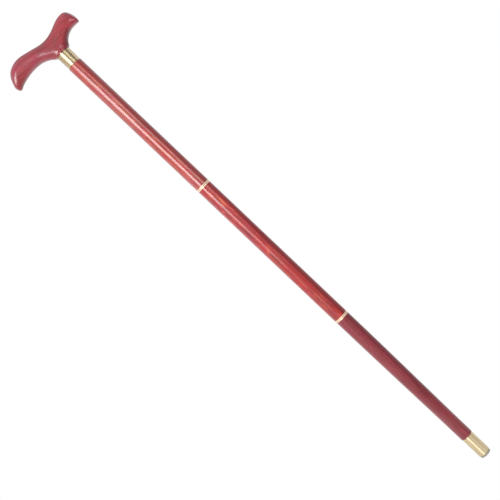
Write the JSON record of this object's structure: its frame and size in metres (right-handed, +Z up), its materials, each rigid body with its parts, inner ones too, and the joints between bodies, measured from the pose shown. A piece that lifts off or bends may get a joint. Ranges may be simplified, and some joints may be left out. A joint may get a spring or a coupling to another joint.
{
  "type": "walking cane",
  "caption": "Take-apart wooden walking cane: derby handle, brass collar, tapered wooden sections joined by brass screw joints, brass ferrule with rubber tip.",
  "frame": {"origin": "centre of the tip pad's flat underside, on the shaft's axis", "axes": "+Z up the shaft to the handle, +X towards the handle's short nose, -X towards the long end of the grip, Y across the grip"},
  "size_m": [0.1379, 0.0284, 0.9136],
  "materials": {
    "handle_wood": "red stained, clear gloss lacquer",
    "upper_wood": "red stained, clear gloss lacquer",
    "middle_wood": "red stained, clear gloss lacquer",
    "lower_wood": "darker red stained, clear satin lacquer",
    "brass": "polished",
    "steel": "plated",
    "seal_rubber": "matt black",
    "pad_rubber": "matt grey-green"
  },
  "bodies": {
    "upper_section": {"handle": "handle_wood", "handle_stud": "steel", "handle_collar": "brass", "upper_shaft": "upper_wood", "upper_joint_socket": "brass"},
    "upper_screw": {"upper_joint_seal": "seal_rubber"},
    "middle_section": {"upper_joint_stud": "brass", "middle_shaft": "middle_wood", "lower_joint_socket": "brass"},
    "lower_screw": {"lower_joint_seal": "seal_rubber"},
    "lower_section": {"lower_joint_stud": "brass", "lower_shaft": "lower_wood", "ferrule": "brass", "tip_pad": "pad_rubber"}
  },
  "joints": [
    {"name": "upper_joint_advance", "type": "slide", "parent": "upper_section", "child": "upper_screw", "axis": [0, 0, -1], "range_m": [0, 0.0105]},
    {"name": "upper_joint_turn", "type": "hinge", "parent": "upper_screw", "child": "middle_section", "pos_m": [0, 0, 0.586], "axis": [0, 0, -1], "range_deg": [0, 2520]},
    {"name": "lower_joint_advance", "type": "slide", "parent": "middle_section", "child": "lower_screw", "axis": [0, 0, -1], "range_m": [0, 0.0105]},
    {"name": "lower_joint_turn", "type": "hinge", "parent": "lower_screw", "child": "lower_section", "pos_m": [0, 0, 0.3019], "axis": [0, 0, -1], "range_deg": [0, 2520]}
  ],
  "couplings": [
    {"joint": "upper_joint_turn", "follows": "upper_joint_advance", "rad_per_m": 4188.8},
    {"joint": "lower_joint_turn", "follows": "lower_joint_advance", "rad_per_m": 4188.8}
  ]
}
